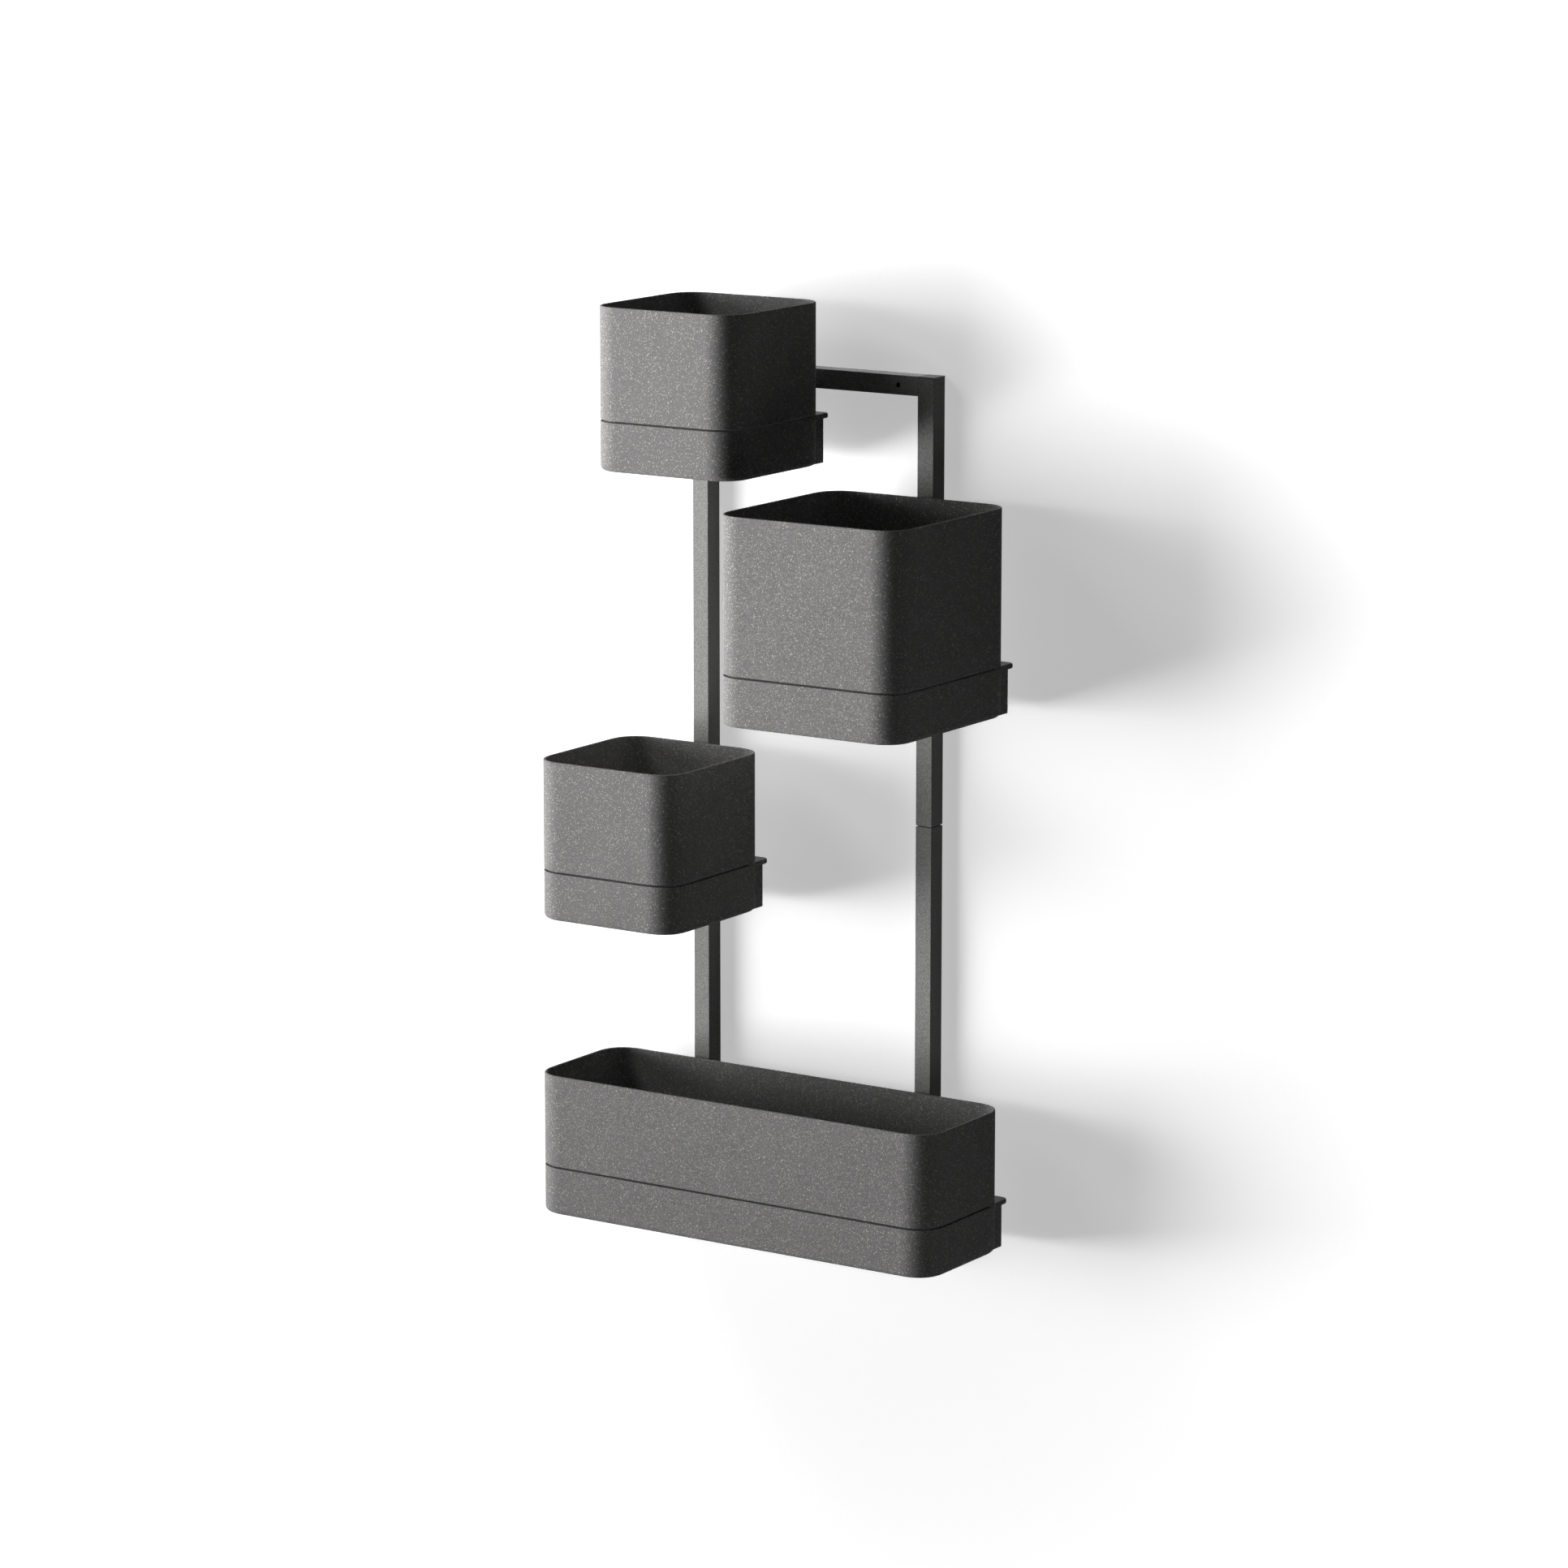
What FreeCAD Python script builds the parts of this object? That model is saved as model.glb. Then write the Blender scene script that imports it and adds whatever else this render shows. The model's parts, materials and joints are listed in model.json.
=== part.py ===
import FreeCAD, Part
import math
import os
import re
import Sketcher
from FreeCAD import Rotation, Vector

# Wall planter. A frame of two posts and two rails is screwed to a wall and carries four
# moulded planters on steel hangers. Each planter is a water tray with a rear hook rail
# and a pot that nests in the tray, with a wick cup that dips from the pot into the water.
# Millimetres, +Z up, the wall at y = 0 and the front towards -Y. The origin is the middle
# of the four wall screw holes, which is also the level of the joint in the posts.

DRIVING_SIZES = {
    # Frame of square-cornered tube
    "post_width": 22,
    "post_depth": 25,
    "tube_wall": 1.5,
    "tube_corner": 0.8,
    "post_spacing": 316,
    "frame_height": 1062,
    "rail_height": 23,
    "joint_chamfer": 0.6,
    "splice_length": 100,
    "splice_clearance": 0.25,
    "splice_screw_rise": 25,
    "cap_thickness": 2,
    "cap_plug": 14,
    "wall_hole_radius": 3,
    "wall_hole_spacing": 240,
    # Outer sizes and places of the four planters
    "small_width": 200,
    "small_depth": 200,
    "small_height": 192,
    "medium_width": 250,
    "medium_depth": 250,
    "medium_height": 244,
    "long_width": 560,
    "long_depth": 172,
    "long_height": 172,
    "top_offset": 72,
    "top_drop": 87,
    "medium_rise": 148,
    "lower_drop": 122,
    "long_rise": 39,
    # Moulded walls shared by all planters
    "corner_radius": 34,
    "stand_off": 9,
    "pot_wall": 3,
    "pot_floor": 3,
    "rim_flat": 0.4,
    "seam_round": 1.1,
    "spigot_depth": 22,
    "spigot_clearance": 0.5,
    "drain_radius": 4,
    "drain_inset": 52,
    "tray_height": 60,
    "tray_wall": 3,
    "tray_floor": 3,
    "tray_base_round": 6,
    # Hook rail behind each tray
    "hook_wall": 2.6,
    "hook_inset": 7.9,
    "hook_base": 0.4,
    "hook_corner": 2,
    "arm_notch": 9,
    "lip_thickness": 6,
    "lip_inset": 0.3,
    "lip_corner": 9,
    "lip_round": 1.8,
    "hang_clearance": 0.5,
    "hook_clearance": 0.6,
    # Steel hangers
    "hanger_thickness": 3,
    "hanger_bend": 1.2,
    "hanger_width": 50,
    "hanger_base": 2,
    "hanger_flange": 19,
    "tongue_top": 40,
    "tongue_gap": 20,
    "pocket_margin": 2,
    # Screws
    "screw_radius": 2,
    "screw_length": 12,
    "screw_clearance": 0.1,
    "screw_head_radius": 4,
    "screw_head_depth": 2,
    "hanger_screw_low": 16,
    "hanger_screw_high": 40,
    "flange_screw_spacing": 28,
    "pan_head_radius": 3.5,
    "pan_head_depth": 2.2,
    "socket_radius": 1.7,
    "socket_depth": 1.4,
    # Wick cups
    "cup_radius": 18,
    "cup_taper": 3,
    "cup_wall": 2,
    "cup_clearance": 0.3,
    "cup_collar": 5,
    "cup_gap": 1,
    "cup_slot_width": 4,
    "cup_slot_margin": 8,
    "cup_spacing": 280,
}

# A cut that takes away less than this many cubic millimetres has missed its piece
LEAST_CUT = 1
# Cuts right through a wick cup, each of which opens a slot in both sides
CUP_SLOT_CUTS = 3

# Heights and depths in a planter's own frame, whose origin is the bottom of its tray, at
# the middle of the pot's back face. They are worked out from the sizes above.
RIM_ROUND = "((pot_wall - rim_flat) / 2)"
LIP_SEAT = "(tray_height - lip_thickness)"
PLATE_FRONT = "(stand_off - hanger_thickness)"
HOOK_BACK = f"({PLATE_FRONT} - hang_clearance)"
POCKET_BACK = f"({HOOK_BACK} - hook_wall)"
TONGUE_BACK = f"({POCKET_BACK} - hook_clearance)"
TONGUE_FRONT = f"({TONGUE_BACK} - hanger_thickness)"
POCKET_FRONT = f"({TONGUE_FRONT} - hook_clearance)"
RESERVOIR_BACK = f"({POCKET_FRONT} - tray_wall)"
LIP_BACK = "(stand_off - hang_clearance)"
SPIGOT_BASE = "(tray_height - spigot_depth)"
FLOOR_TOP = f"({SPIGOT_BASE} + pot_floor)"
SCREW_HOLE = "(screw_radius + screw_clearance)"
ARM_TOP = "(hanger_base + hanger_thickness)"
HANGER_OUTER_BEND = "(hanger_bend + hanger_thickness)"

# Heights and depths in the frame of the whole object
JOINT = "0"
FRAME_TOP = "(frame_height / 2)"
RAIL_UNDERSIDE = f"({FRAME_TOP} - rail_height)"
POST_END = f"({FRAME_TOP} - cap_thickness)"
POT_BACK = "(-post_depth - stand_off)"
POST_X = {"left": "(-post_spacing / 2)", "right": "(post_spacing / 2)"}

# Each planter: its size family, the middle of its back, the level of its base, and where
# its hangers and its wick cups are, sideways from its middle. The top planter hangs from
# the top rail, the long one is placed from the lower end of the posts, and the two between
# them from the joint in the posts.
PLANTERS = {
    "top": ("small", "(-top_offset)", f"({RAIL_UNDERSIDE} - top_drop)", {"": "0"}, {"": "0"}),
    "medium": ("medium", POST_X["right"], f"({JOINT} + medium_rise)", {"": "0"}, {"": "0"}),
    "lower": ("small", POST_X["left"], f"({JOINT} - lower_drop)", {"": "0"}, {"": "0"}),
    "long": (
        "long", "0", f"(long_rise - {FRAME_TOP})",
        {"_left": POST_X["left"], "_right": POST_X["right"]},
        {"_left": "(-cup_spacing / 2)", "_right": "(cup_spacing / 2)"},
    ),
}


def screw_levels(*planters):
    """Levels of the screws of the hangers that carry these planters."""
    names = ("hanger_screw_low", "hanger_screw_high")
    return [f"{PLANTERS[planter][2]} + {name}" for planter in planters for name in names]



# Directions that a primitive's own +Z axis is turned to
BACKWARD = Rotation(Vector(1, 0, 0), -90)
UPWARD = Rotation()
SIDEWAYS = {"left": Rotation(Vector(0, 1, 0), -90), "right": Rotation(Vector(0, 1, 0), 90)}

doc = FreeCAD.newDocument("wall_planter")
sheet = doc.addObject("Spreadsheet::Sheet", "sizes")
for row, (alias, value) in enumerate(DRIVING_SIZES.items(), 1):
    sheet.set(f"A{row}", alias)
    sheet.set(f"B{row}", str(value))
    sheet.setAlias(f"B{row}", alias)
doc.recompute()

nodes = []


def on_sheet(formula):
    """Write a formula of size names as an expression on the sheet's cells."""
    return re.sub(
        r"[a-z_]+", lambda word: "sizes." + word[0] if word[0] in DRIVING_SIZES else word[0], formula
    )


def bind(thing, property_name, formula):
    thing.setExpression(property_name, on_sheet(formula))


def number(formula):
    return float(sheet.evalExpression(on_sheet(formula)))


def bind_place(thing, x, y, z):
    for axis, formula in zip("xyz", (x, y, z)):
        bind(thing, f"Placement.Base.{axis}", formula)


def new_body(label, x="0", y="0", z="0"):
    body = doc.addObject("PartDesign::Body", label)
    body.Label = label
    bind_place(body, x, y, z)
    nodes.append(body)
    return body


def new_sketch(body, name, plane, level):
    sketch = body.newObject("Sketcher::SketchObject", name)
    support = next(item for item in body.Origin.OriginFeatures if item.Role == plane)
    sketch.AttachmentSupport = (support, [""])
    sketch.MapMode = "FlatFace"
    bind(sketch, "AttachmentOffset.Base.z", level)
    return sketch


def dimension(sketch, name, constraint, formula):
    index = sketch.addConstraint(constraint)
    sketch.renameConstraint(index, name)
    bind(sketch, f"Constraints.{name}", formula)


def rounded_rectangle(body, name, plane, level, left, right, low, high, radius):
    """A closed outline of four lines and four equal tangent arcs."""
    sketch = new_sketch(body, name, plane, level)
    x0, x1, y0, y1, r = (number(formula) for formula in (left, right, low, high, radius))
    quarter = math.pi / 2
    ends = [
        ((x0 + r, y0), (x1 - r, y0)),
        ((x1, y0 + r), (x1, y1 - r)),
        ((x1 - r, y1), (x0 + r, y1)),
        ((x0, y1 - r), (x0, y0 + r)),
    ]
    for start, end in ends:
        sketch.addGeometry(Part.LineSegment(Vector(*start), Vector(*end)))
    centres = [(x1 - r, y0 + r), (x1 - r, y1 - r), (x0 + r, y1 - r), (x0 + r, y0 + r)]
    for turn, centre in enumerate(centres):
        circle = Part.Circle(Vector(*centre), Vector(0, 0, 1), r)
        sketch.addGeometry(Part.ArcOfCircle(circle, (turn - 1) * quarter, turn * quarter))
    for side in range(4):
        arc = side + 4
        sketch.addConstraint(Sketcher.Constraint("Tangent", side, 2, arc, 1))
        sketch.addConstraint(Sketcher.Constraint("Tangent", arc, 2, (side + 1) % 4, 1))
        sketch.addConstraint(Sketcher.Constraint("Vertical" if side % 2 else "Horizontal", side))
    for arc in (5, 6, 7):
        sketch.addConstraint(Sketcher.Constraint("Equal", 4, arc))
    dimension(sketch, "corner", Sketcher.Constraint("Radius", 4, r), radius)
    dimension(sketch, "low", Sketcher.Constraint("DistanceY", 0, 1, y0), low)
    dimension(sketch, "right", Sketcher.Constraint("DistanceX", 1, 1, x1), right)
    dimension(sketch, "high", Sketcher.Constraint("DistanceY", 2, 1, y1), high)
    dimension(sketch, "left", Sketcher.Constraint("DistanceX", 3, 1, x0), left)
    return sketch


def polygon(body, name, plane, level, corners):
    """A closed outline of straight lines through corners, each held by its two distances."""
    sketch = new_sketch(body, name, plane, level)
    points = [Vector(number(x), number(y), 0) for x, y in corners]
    count = len(points)
    for index in range(count):
        sketch.addGeometry(Part.LineSegment(points[index], points[(index + 1) % count]))
    for index in range(count):
        sketch.addConstraint(Sketcher.Constraint("Coincident", index, 2, (index + 1) % count, 1))
    for index, (x, y) in enumerate(corners):
        dimension(sketch, f"x{index}", Sketcher.Constraint("DistanceX", index, 1, points[index].x), x)
        dimension(sketch, f"y{index}", Sketcher.Constraint("DistanceY", index, 1, points[index].y), y)
    return sketch


def rectangle(body, name, level, left, right, low, high):
    corners = [(left, low), (right, low), (right, high), (left, high)]
    return polygon(body, name, "XY_Plane", level, corners)


def circles(body, name, level, radius, centres):
    sketch = new_sketch(body, name, "XY_Plane", level)
    for index, (x, y) in enumerate(centres):
        centre = Vector(number(x), number(y), 0)
        sketch.addGeometry(Part.Circle(centre, Vector(0, 0, 1), number(radius)))
        dimension(sketch, f"x{index}", Sketcher.Constraint("DistanceX", index, 3, centre.x), x)
        dimension(sketch, f"y{index}", Sketcher.Constraint("DistanceY", index, 3, centre.y), y)
        dimension(sketch, f"radius{index}", Sketcher.Constraint("Radius", index, number(radius)), radius)
    return sketch


def pad(body, sketch, length, downward=False, symmetric=False):
    feature = body.newObject("PartDesign::Pad", sketch.Name + "_pad")
    feature.Profile = sketch
    feature.Reversed = downward
    if symmetric:
        feature.SideType = "Symmetric"
    bind(feature, "Length", length)
    doc.recompute()


def check_cut(body, feature, volume_before):
    doc.recompute()
    if body.Tip.Shape.Volume > volume_before - LEAST_CUT:
        raise ValueError(f"{feature.Label} cuts nothing from {body.Label}")


def pocket(body, sketch, depth, upward=False, symmetric=False):
    volume_before = body.Tip.Shape.Volume
    feature = body.newObject("PartDesign::Pocket", sketch.Name + "_pocket")
    feature.Profile = sketch
    feature.Reversed = upward
    if symmetric:
        feature.SideType = "Symmetric"
    bind(feature, "Length", depth)
    check_cut(body, feature, volume_before)
    return feature


def bore(body, name, turn, x, y, z, radius, depth, end_radius=None):
    """Cut a round hole, or a countersink where its end has another radius."""
    volume_before = body.Tip.Shape.Volume
    kind = "SubtractiveCone" if end_radius else "SubtractiveCylinder"
    feature = body.newObject("PartDesign::" + kind, name)
    feature.Placement.Rotation = turn
    bind_place(feature, x, y, z)
    bind(feature, "Height", depth)
    if end_radius:
        bind(feature, "Radius1", radius)
        bind(feature, "Radius2", end_radius)
    else:
        bind(feature, "Radius", radius)
    check_cut(body, feature, volume_before)


def edges_at(shape, **places):
    """Names of the edges that lie wholly at the given places, such as Z=60."""
    near = 0.01
    names = []
    for index, edge in enumerate(shape.Edges, 1):
        reach = edge.BoundBox
        misses = [
            abs(getattr(reach, axis + end) - place)
            for axis, place in places.items()
            for end in ("Min", "Max")
        ]
        if max(misses) < near:
            names.append(f"Edge{index}")
    return names


def dress_edges(body, kind, name, size_property, size, edges):
    dressed = body.Tip
    feature = body.newObject("PartDesign::" + kind, name)
    feature.Base = (dressed, edges)
    bind(feature, size_property, size)
    doc.recompute()


def round_level(body, name, radius, *levels):
    """Round all the edges that lie at some levels."""
    edges = [edge for level in levels for edge in edges_at(body.Tip.Shape, Z=number(level))]
    dress_edges(body, "Fillet", name, "Radius", radius, edges)


def group(label, pieces):
    compound = doc.addObject("Part::Compound", label)
    compound.Label = label
    compound.Links = pieces
    nodes.append(compound)


def fused(label, first, second):
    piece = doc.addObject("Part::Fuse", label)
    piece.Base = first
    piece.Tool = second
    return piece


def box(label, x, y, z, length, width, height):
    piece = doc.addObject("Part::Box", label)
    bind_place(piece, x, y, z)
    for side, formula in (("Length", length), ("Width", width), ("Height", height)):
        bind(piece, side, formula)
    return piece


def cylinder(label, turn, x, y, z, radius, height):
    piece = doc.addObject("Part::Cylinder", label)
    piece.Placement.Rotation = turn
    bind_place(piece, x, y, z)
    bind(piece, "Radius", radius)
    bind(piece, "Height", height)
    return piece


def socketed(label, turn, x, y, z, screw):
    """Cut a hexagon socket into a screw, from the middle of its head."""
    socket = doc.addObject("Part::Prism", label + "_socket")
    socket.Polygon = 6
    socket.Placement.Rotation = turn
    bind_place(socket, x, y, z)
    bind(socket, "Circumradius", "socket_radius")
    bind(socket, "Height", "socket_depth")
    piece = doc.addObject("Part::Cut", label)
    piece.Base = screw
    piece.Tool = socket
    return piece


def countersunk_screw(label, turn, x, y, z):
    """A screw whose flat head lies at the point given and whose shank runs on from it."""
    head = doc.addObject("Part::Cone", label + "_head")
    head.Placement.Rotation = turn
    bind_place(head, x, y, z)
    bind(head, "Radius1", "screw_head_radius")
    bind(head, "Radius2", "screw_radius")
    bind(head, "Height", "screw_head_depth")
    shank = cylinder(label + "_shank", turn, x, y, z, "screw_radius", "screw_length")
    return socketed(label, turn, x, y, z, fused(label + "_blank", head, shank))


def countersunk_hole(body, name, turn, x, y, z):
    bore(body, name + "_through", turn, x, y, z, SCREW_HOLE, "hanger_thickness")
    bore(body, name + "_sink", turn, x, y, z, "screw_head_radius", "screw_head_depth", "screw_radius")


def build_post(label, side, base, top, hole_levels):
    """One tube of a post, open at both ends, with holes for what is screwed to it."""
    body = new_body(label, x=POST_X[side])
    length = f"({top} - {base})"
    half = "(post_width / 2)"
    outline = rounded_rectangle(
        body, label + "_outline", "XY_Plane", base, f"-{half}", half, "-post_depth", "0", "tube_corner"
    )
    pad(body, outline, length)
    edges = edges_at(body.Tip.Shape, Z=number(JOINT))
    dress_edges(body, "Chamfer", label + "_chamfer", "Size", "joint_chamfer", edges)
    inner = f"({half} - tube_wall)"
    hollow = rectangle(
        body, label + "_hollow", base, f"-{inner}", inner, "-post_depth + tube_wall", "-tube_wall"
    )
    pocket(body, hollow, length, upward=True)
    for index, level in enumerate(hole_levels):
        bore(body, f"{label}_hole{index}", BACKWARD, "0", "-post_depth", level, SCREW_HOLE, "tube_wall")
    rise = "splice_screw_rise" if "upper" in label else "-splice_screw_rise"
    inner_face = f"({half} - tube_wall)" if side == "left" else f"-{half}"
    bore(
        body, label + "_splice_hole", SIDEWAYS["right"],
        inner_face, "-post_depth / 2", rise, SCREW_HOLE, "tube_wall",
    )


def build_rail(label, base):
    """A tube between the posts, with two holes through it for screws into the wall."""
    body = new_body(label)
    length = "(post_spacing - post_width)"
    top = f"({base} + rail_height)"
    outline = rounded_rectangle(
        body, label + "_outline", "YZ_Plane", "0", "-post_depth", "0", base, top, "tube_corner"
    )
    pad(body, outline, length, symmetric=True)
    back = "-tube_wall"
    front = "-post_depth + tube_wall"
    corners = [
        (front, f"{base} + tube_wall"),
        (back, f"{base} + tube_wall"),
        (back, f"{top} - tube_wall"),
        (front, f"{top} - tube_wall"),
    ]
    hollow = polygon(body, label + "_hollow", "YZ_Plane", "0", corners)
    pocket(body, hollow, length, symmetric=True)
    for side, sign in (("left", "-"), ("right", "")):
        bore(
            body, f"{label}_wall_hole_{side}", BACKWARD, f"{sign}wall_hole_spacing / 2",
            "-post_depth", f"{base} + rail_height / 2", "wall_hole_radius", "post_depth",
        )
    return body


def build_splice(side):
    """A solid bar inside the two tubes of a post, across their joint."""
    label = "splice_" + side
    body = new_body(label, x=POST_X[side])
    inset = "(tube_wall + splice_clearance)"
    half = f"(post_width / 2 - {inset})"
    bar = rectangle(
        body, label + "_outline", "-splice_length / 2", f"-{half}", half,
        f"-post_depth + {inset}", f"-{inset}",
    )
    pad(body, bar, "splice_length")
    inner_face = half if side == "left" else f"-{half}"
    for name, rise in (("upper", "splice_screw_rise"), ("lower", "-splice_screw_rise")):
        bore(
            body, f"{label}_{name}_hole", SIDEWAYS[side], inner_face, "-post_depth / 2", rise,
            SCREW_HOLE, "screw_length",
        )


def build_splice_screws():
    """Pan-head screws on the posts' inner faces, two into each splice."""
    screws = []
    for side, face in (("left", "+ post_width / 2"), ("right", "- post_width / 2")):
        outward = "right" if side == "left" else "left"
        x = f"{POST_X[side]} {face}"
        for name, rise in (("upper", "splice_screw_rise"), ("lower", "-splice_screw_rise")):
            label = f"splice_screw_{side}_{name}"
            place = (x, "-post_depth / 2", rise)
            head = cylinder(label + "_head", SIDEWAYS[outward], *place, "pan_head_radius", "pan_head_depth")
            shank = cylinder(label + "_shank", SIDEWAYS[side], *place, "screw_radius", "screw_length")
            outer = f"{x} + pan_head_depth" if side == "left" else f"{x} - pan_head_depth"
            blank = fused(label + "_blank", head, shank)
            screws.append(socketed(label, SIDEWAYS[side], outer, "-post_depth / 2", rise, blank))
    group("splice_screws", screws)


def build_caps():
    """Plugs that close the four open ends of the posts, flush with the rails."""
    caps = []
    inset = "(tube_wall + splice_clearance)"
    for side, x in POST_X.items():
        for end in ("top", "bottom"):
            label = f"cap_{end}_{side}"
            plate_base = POST_END if end == "top" else f"-{FRAME_TOP}"
            plug_base = f"{POST_END} - cap_plug" if end == "top" else f"-{POST_END}"
            plate = box(
                label + "_plate", f"{x} - post_width / 2", "-post_depth", plate_base,
                "post_width", "post_depth", "cap_thickness",
            )
            plug = box(
                label + "_plug", f"{x} - post_width / 2 + {inset}", f"-post_depth + {inset}", plug_base,
                f"post_width - 2 * {inset}", f"post_depth - 2 * {inset}", "cap_plug",
            )
            caps.append(fused(label, plate, plug))
    group("post_end_caps", caps)


def build_pot(name, family, x, z, cup_places):
    """A thin-walled pot: a body flush with the tray and a spigot that drops into the tray."""
    label = "pot_" + name
    body = new_body(label, x=x, y=POT_BACK, z=z)
    half = f"({family}_width / 2)"
    depth = f"{family}_depth"
    height = f"{family}_height"
    outer = rounded_rectangle(
        body, label + "_outer", "XY_Plane", "tray_height", f"-{half}", half,
        f"-{depth}", "0", "corner_radius",
    )
    pad(body, outer, f"{height} - tray_height")
    round_level(body, label + "_seam", "seam_round", "tray_height")

    side_gap = "(tray_wall + spigot_clearance)"
    spigot_half = f"({half} - {side_gap})"
    spigot = rounded_rectangle(
        body, label + "_spigot", "XY_Plane", "tray_height + seam_round", f"-{spigot_half}", spigot_half,
        f"-{depth} + {side_gap}", f"{RESERVOIR_BACK} - spigot_clearance", f"corner_radius - {side_gap}",
    )
    pad(body, spigot, "spigot_depth + seam_round", downward=True)

    inner_half = f"({half} - pot_wall)"
    cavity = rounded_rectangle(
        body, label + "_cavity", "XY_Plane", height, f"-{inner_half}", inner_half,
        f"-{depth} + pot_wall", "-pot_wall", "corner_radius - pot_wall",
    )
    pocket(body, cavity, f"{height} - tray_height - seam_round - pot_wall")
    well_inset = f"({side_gap} + pot_wall)"
    well_half = f"({half} - {well_inset})"
    well = rounded_rectangle(
        body, label + "_well", "XY_Plane", "tray_height + seam_round + pot_wall", f"-{well_half}", well_half,
        f"-{depth} + {well_inset}", f"{RESERVOIR_BACK} - spigot_clearance - pot_wall",
        f"corner_radius - {well_inset}",
    )
    pocket(body, well, "spigot_depth + seam_round + pot_wall - pot_floor")

    seats = circles(
        body, label + "_cup_seats", FLOOR_TOP, "cup_radius + cup_clearance",
        [(place, f"-{depth} / 2") for place in cup_places.values()],
    )
    pocket(body, seats, "pot_floor")
    drain_x = f"({half} - drain_inset)"
    drains = circles(
        body, label + "_drains", FLOOR_TOP, "drain_radius",
        [(f"{sign}{drain_x}", y) for sign in ("-", "") for y in ("-drain_inset", f"-{depth} + drain_inset")],
    )
    pocket(body, drains, "pot_floor")
    round_level(body, label + "_rim", RIM_ROUND, height)


def build_tray(name, family, x, z, hanger_places):
    """A water tray with a thick rear wall, a hook block and a lip behind it."""
    label = "tray_" + name
    body = new_body(label, x=x, y=POT_BACK, z=z)
    half = f"({family}_width / 2)"
    depth = f"{family}_depth"
    lip_half = f"({half} - lip_inset)"
    lip = rounded_rectangle(
        body, label + "_lip", "XY_Plane", LIP_SEAT, f"-{lip_half}", lip_half,
        "-corner_radius", LIP_BACK, "lip_corner",
    )
    pad(body, lip, "lip_thickness")
    round_level(body, label + "_lip_edge", "lip_round", "tray_height", LIP_SEAT)
    outer = rounded_rectangle(
        body, label + "_outer", "XY_Plane", "0", f"-{half}", half, f"-{depth}", "0", "corner_radius"
    )
    pad(body, outer, "tray_height")
    round_level(body, label + "_base", "tray_base_round", "0")
    hook_half = f"({half} - hook_inset)"
    hook = rounded_rectangle(
        body, label + "_hook", "XY_Plane", "hook_base", f"-{hook_half}", hook_half,
        "-corner_radius", HOOK_BACK, "hook_corner",
    )
    pad(body, hook, "tray_height - lip_round - hook_base")

    inner_half = f"({half} - tray_wall)"
    reservoir = rounded_rectangle(
        body, label + "_reservoir", "XY_Plane", "tray_height", f"-{inner_half}", inner_half,
        f"-{depth} + tray_wall", RESERVOIR_BACK, "corner_radius - tray_wall",
    )
    pocket(body, reservoir, "tray_height - tray_floor")
    slot_half = "(hanger_width / 2 + pocket_margin)"
    for side, place in hanger_places.items():
        slot = rectangle(
            body, f"{label}_slot{side}", "0", f"{place} - {slot_half}", f"{place} + {slot_half}",
            POCKET_FRONT, POCKET_BACK,
        )
        pocket(body, slot, "tongue_top + pocket_margin", upward=True)
        notch = rectangle(
            body, f"{label}_notch{side}", "0", f"{place} - {slot_half}", f"{place} + {slot_half}",
            POCKET_FRONT, HOOK_BACK + " + pocket_margin",
        )
        pocket(body, notch, "arm_notch", upward=True)


def build_cup(label, family, x, z):
    """A tapered cup with a collar that rests on the pot's floor and slots that let water in."""
    body = new_body(label, x=x, y=f"{POT_BACK} - {family}_depth / 2", z=z)
    base = "(tray_floor + cup_gap)"
    base_radius = "(cup_radius - cup_taper)"
    corners = [
        ("0", base),
        (base_radius, base),
        ("cup_radius", FLOOR_TOP),
        ("cup_radius + cup_collar", FLOOR_TOP),
        ("cup_radius + cup_collar", f"{FLOOR_TOP} + cup_wall"),
        ("cup_radius - cup_wall", f"{FLOOR_TOP} + cup_wall"),
        (f"{base_radius} - cup_wall", f"{base} + cup_wall"),
        ("0", f"{base} + cup_wall"),
    ]
    profile = polygon(body, label + "_profile", "XZ_Plane", "0", corners)
    turned = body.newObject("PartDesign::Revolution", label + "_turned")
    turned.Profile = profile
    turned.ReferenceAxis = (profile, ["V_Axis"])
    doc.recompute()
    slot_half = "(cup_slot_width / 2)"
    slot_corners = [
        (f"-{slot_half}", f"{base} + cup_slot_margin"),
        (slot_half, f"{base} + cup_slot_margin"),
        (slot_half, f"{SPIGOT_BASE} - cup_slot_margin"),
        (f"-{slot_half}", f"{SPIGOT_BASE} - cup_slot_margin"),
    ]
    slots = polygon(body, label + "_slots", "XZ_Plane", "0", slot_corners)
    first = pocket(body, slots, "2 * (cup_radius + cup_collar)", symmetric=True)
    half_turn = 180
    ring = body.newObject("PartDesign::PolarPattern", label + "_slot_ring")
    ring.Originals = [first]
    ring.Axis = (slots, ["V_Axis"])
    ring.Angle = half_turn - half_turn / CUP_SLOT_CUTS
    ring.Occurrences = CUP_SLOT_CUTS
    body.Tip = ring
    doc.recompute()


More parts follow.
